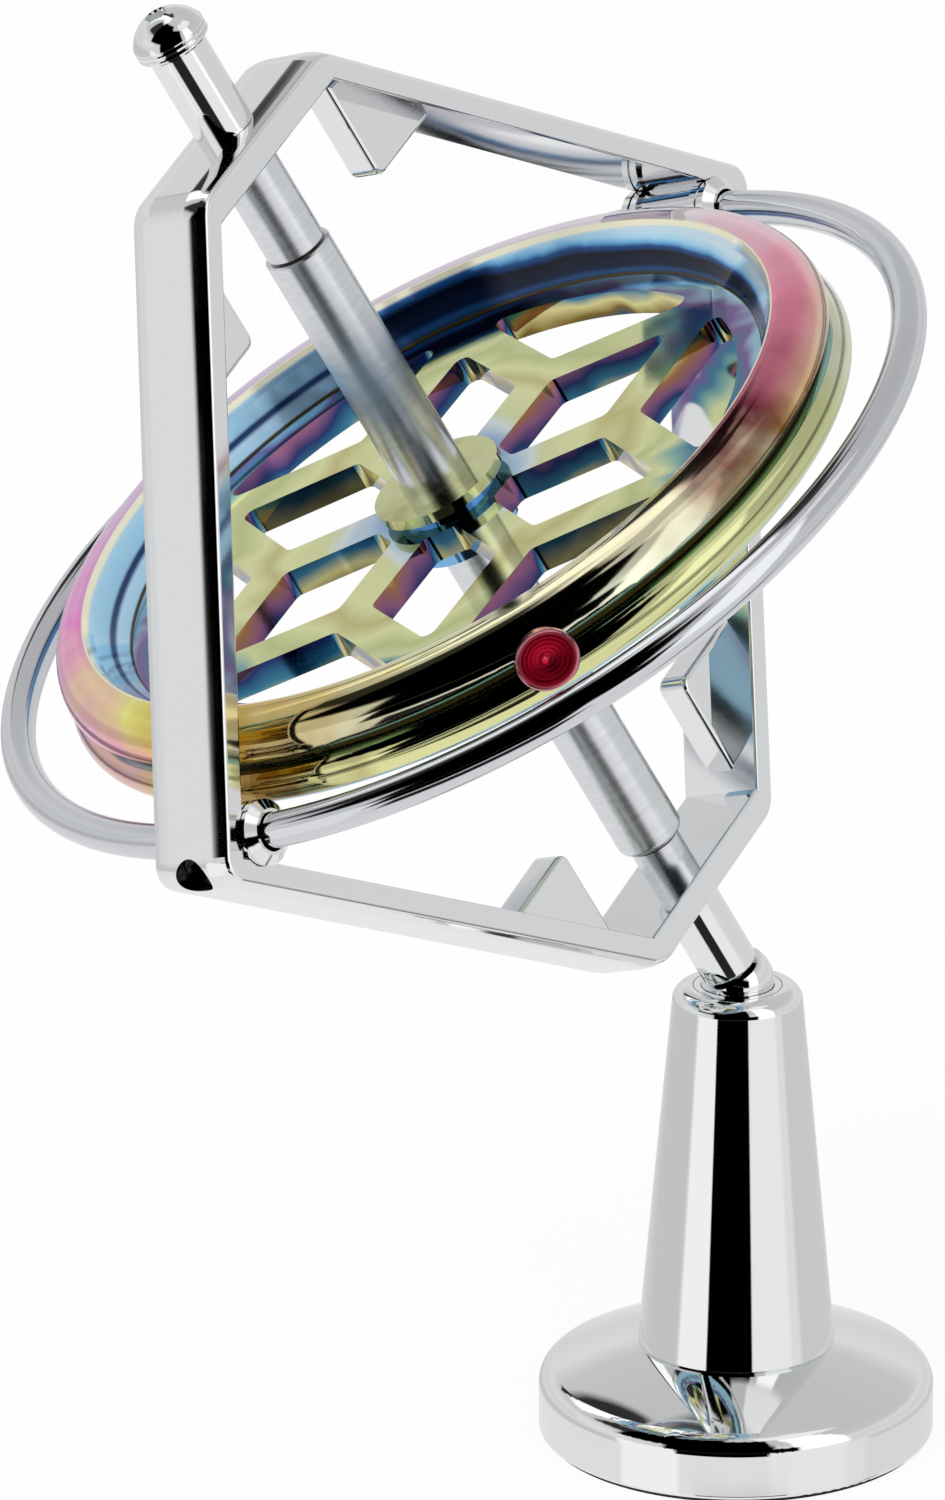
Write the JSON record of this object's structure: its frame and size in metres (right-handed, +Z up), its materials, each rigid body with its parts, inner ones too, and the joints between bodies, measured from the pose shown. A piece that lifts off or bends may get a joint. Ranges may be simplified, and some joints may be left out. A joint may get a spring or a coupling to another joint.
{
  "type": "gyroscope on stand",
  "caption": "Classroom gyroscope with a pierced flywheel in a six-sided bar frame and round guard ring, leaning on a ball seat at the top of a turned stand.",
  "frame": {"origin": "centre of the foot's underside, on the floor, below the ball seat", "axes": "+Z up the stand's axis; the gyroscope leans towards -X, so the lean axis is Y"},
  "size_m": [0.0625, 0.068, 0.1033],
  "materials": {
    "stand_steel": "mirror-polished chromed steel",
    "pad_rubber": "cork-rubber disc",
    "fastener_steel": "plain steel fasteners",
    "cup_steel": "hardened and polished steel",
    "frame_alloy": "bright-plated light alloy",
    "ring_steel": "satin-drawn stainless steel",
    "post_steel": "mirror-polished chromed steel",
    "sleeve_alloy": "satin-turned light alloy",
    "shaft_steel": "ground steel",
    "bush_bronze": "plain bronze",
    "wheel_rainbow": "rainbow interference coat on polished light alloy",
    "stud_red": "red anodised light alloy"
  },
  "bodies": {
    "stand": {"foot": "stand_steel", "foot_pad": "pad_rubber", "column": "stand_steel", "column_screw": "fastener_steel", "column_washer": "fastener_steel"},
    "swivel": {"seat_cup": "cup_steel"},
    "ball": {"seat_ball": "post_steel"},
    "gyro": {"gyro_frame": "frame_alloy", "guard_ring_front": "ring_steel", "guard_ring_rear": "ring_steel", "ring_collars": "post_steel", "corner_screws": "fastener_steel", "upper_post": "post_steel", "upper_ball_head": "post_steel", "lower_post": "post_steel", "upper_bearing_tube": "post_steel", "lower_bearing_stub": "post_steel", "upper_bush": "bush_bronze", "lower_bush": "bush_bronze"},
    "wheel": {"flywheel": "wheel_rainbow", "axle_shaft": "shaft_steel", "upper_sleeve": "sleeve_alloy", "lower_sleeve": "sleeve_alloy", "balance_studs": "stud_red"}
  },
  "joints": [
    {"name": "precession", "type": "hinge", "parent": "stand", "child": "swivel", "pos_m": [0, 0, 0.0323], "axis": [0, 0, 1], "continuous": true},
    {"name": "lean", "type": "hinge", "parent": "swivel", "child": "ball", "pos_m": [0, 0, 0.0323], "axis": [0, 1, 0], "range_deg": [-10, 68]},
    {"name": "frame_roll", "type": "hinge", "parent": "ball", "child": "gyro", "pos_m": [0, 0, 0.0323], "axis": [-0.4894, 0, 0.8721], "continuous": true},
    {"name": "wheel_spin", "type": "hinge", "parent": "gyro", "child": "wheel", "pos_m": [-0.01938, 0, 0.06683], "axis": [-0.4894, 0, 0.8721], "continuous": true}
  ]
}
